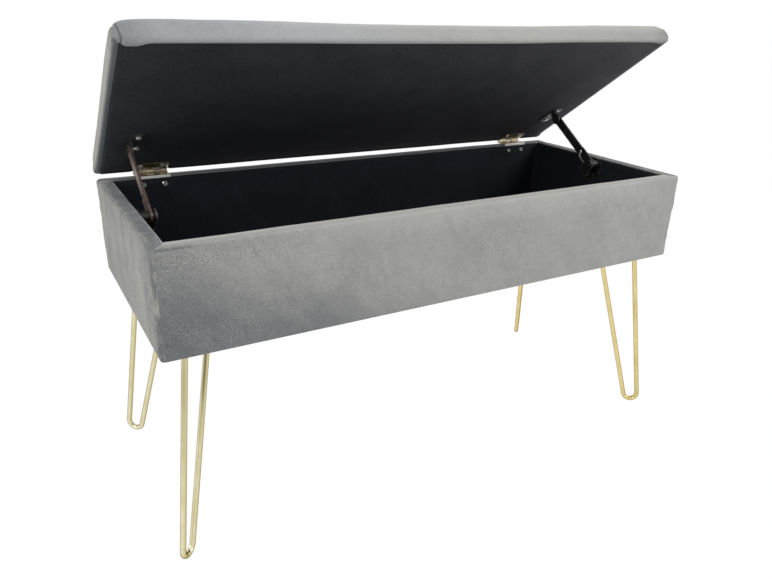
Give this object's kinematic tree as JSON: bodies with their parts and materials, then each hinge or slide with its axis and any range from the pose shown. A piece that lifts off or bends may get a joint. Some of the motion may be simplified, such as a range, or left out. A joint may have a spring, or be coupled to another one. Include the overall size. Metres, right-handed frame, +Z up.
{
  "type": "storage bench",
  "caption": "Velvet-covered storage bench on gold hairpin legs, with a padded lid hinged at the back and held open by slotted stays.",
  "frame": {"origin": "on the floor, under the middle of the area that the bench covers with its lid open, about 6 mm behind the middle of the box", "axes": "+X along the bench to the right as seen from the front, -Y towards the front, +Z up"},
  "size_m": [0.8566, 0.3634, 0.6585],
  "materials": {
    "board": "matte",
    "velvet": "matte",
    "lining": "matte",
    "foam": "matte",
    "gold_rod": "satin",
    "nickel": "satin",
    "bronze": "satin",
    "bright_screw": "polished",
    "zinc_screw": "satin",
    "nylon": "matte"
  },
  "bodies": {
    "box": {"back_panel": "board", "body_cover": "velvet", "bottom_panel": "board", "dust_cover": "lining", "front_panel": "board", "hinge_box_screws": "bright_screw", "hinge_left_box_leaf": "nickel", "hinge_left_pin": "nickel", "hinge_right_box_leaf": "nickel", "hinge_right_pin": "nickel", "left_panel": "board", "leg_back_left": "gold_rod", "leg_back_right": "gold_rod", "leg_front_left": "gold_rod", "leg_front_right": "gold_rod", "leg_screws": "zinc_screw", "panel_screws": "zinc_screw", "right_panel": "board", "stay_left_pin": "bright_screw", "stay_left_spacers": "nylon", "stay_left_wall_bracket": "bronze", "stay_right_pin": "bright_screw", "stay_right_spacers": "nylon", "stay_right_wall_bracket": "bronze", "stay_wall_screws": "bright_screw", "well_lining": "lining"},
    "lid": {"hinge_left_lid_leaf": "nickel", "hinge_lid_screws": "bright_screw", "hinge_right_lid_leaf": "nickel", "lid_board": "board", "lid_cover": "velvet", "lid_foam": "foam", "lid_lining": "lining", "stay_left_lid_bracket": "bronze", "stay_left_rivet": "bright_screw", "stay_lid_screws": "bright_screw", "stay_right_lid_bracket": "bronze", "stay_right_rivet": "bright_screw"},
    "arm_left": {"stay_left_arm": "bronze"},
    "arm_right": {"stay_right_arm": "bronze"}
  },
  "joints": [
    {"name": "lid_hinge", "type": "hinge", "parent": "box", "child": "lid", "pos_m": [0, 0.16876, 0.4338], "axis": [-1, 0, 0], "range_deg": [-35.5, 0]},
    {"name": "stay_left_pivot", "type": "hinge", "parent": "lid", "child": "arm_left", "pos_m": [-0.3886, 0.08049, 0.4857], "axis": [-1, 0, 0], "range_deg": [0, 66.3]},
    {"name": "stay_right_pivot", "type": "hinge", "parent": "lid", "child": "arm_right", "pos_m": [0.3886, 0.08049, 0.4857], "axis": [-1, 0, 0], "range_deg": [0, 66.3]}
  ],
  "couplings": [
    {"joint": "stay_left_pivot", "follows": "lid_hinge", "ratio": -1.8655},
    {"joint": "stay_right_pivot", "follows": "lid_hinge", "ratio": -1.8655}
  ]
}
